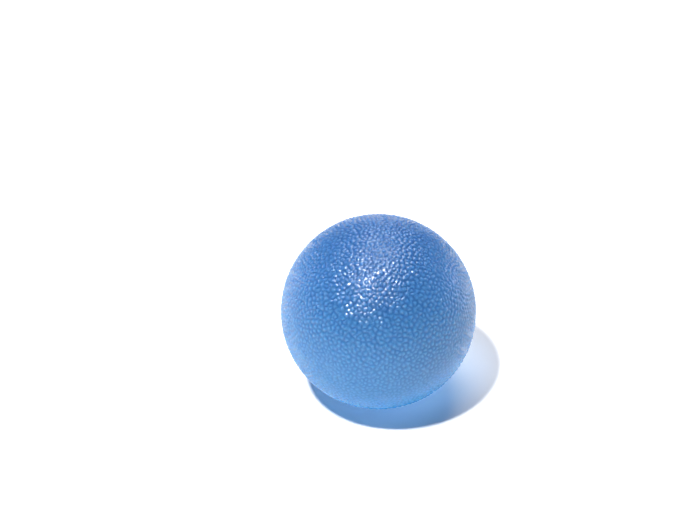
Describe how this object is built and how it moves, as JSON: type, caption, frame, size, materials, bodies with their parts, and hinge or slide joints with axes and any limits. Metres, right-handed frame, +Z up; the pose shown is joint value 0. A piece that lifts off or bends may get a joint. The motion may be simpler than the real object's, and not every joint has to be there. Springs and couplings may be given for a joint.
{
  "type": "stress ball",
  "caption": "Soft translucent gel-filled squeeze ball with a pebbled elastomer skin, a riveted fill plug and a springy squeeze joint.",
  "frame": {"origin": "centre of the small flat patch that the ball rests on", "axes": "+Z up through the ball's centre, the direction that the squeeze joint returns in; the fill plug is on the +Y side, below the widest line"},
  "size_m": [0.05, 0.05, 0.0495],
  "materials": {
    "skin": "translucent blue elastomer with a glossy pebbled grain",
    "gel": "clear blue soft gel",
    "plug": "smooth translucent blue elastomer"
  },
  "bodies": {
    "lower_half": {"skin_lower_half": "skin", "gel_core": "gel", "fill_plug": "plug"},
    "upper_half": {"skin_upper_half": "skin"}
  },
  "joints": [
    {"name": "squeeze", "type": "slide", "parent": "lower_half", "child": "upper_half", "axis": [0, 0, -1], "range_m": [0, 0.02], "stiffness_N_per_m": 1300, "deforming": ["skin_lower_half", "skin_upper_half", "gel_core", "fill_plug"]}
  ]
}
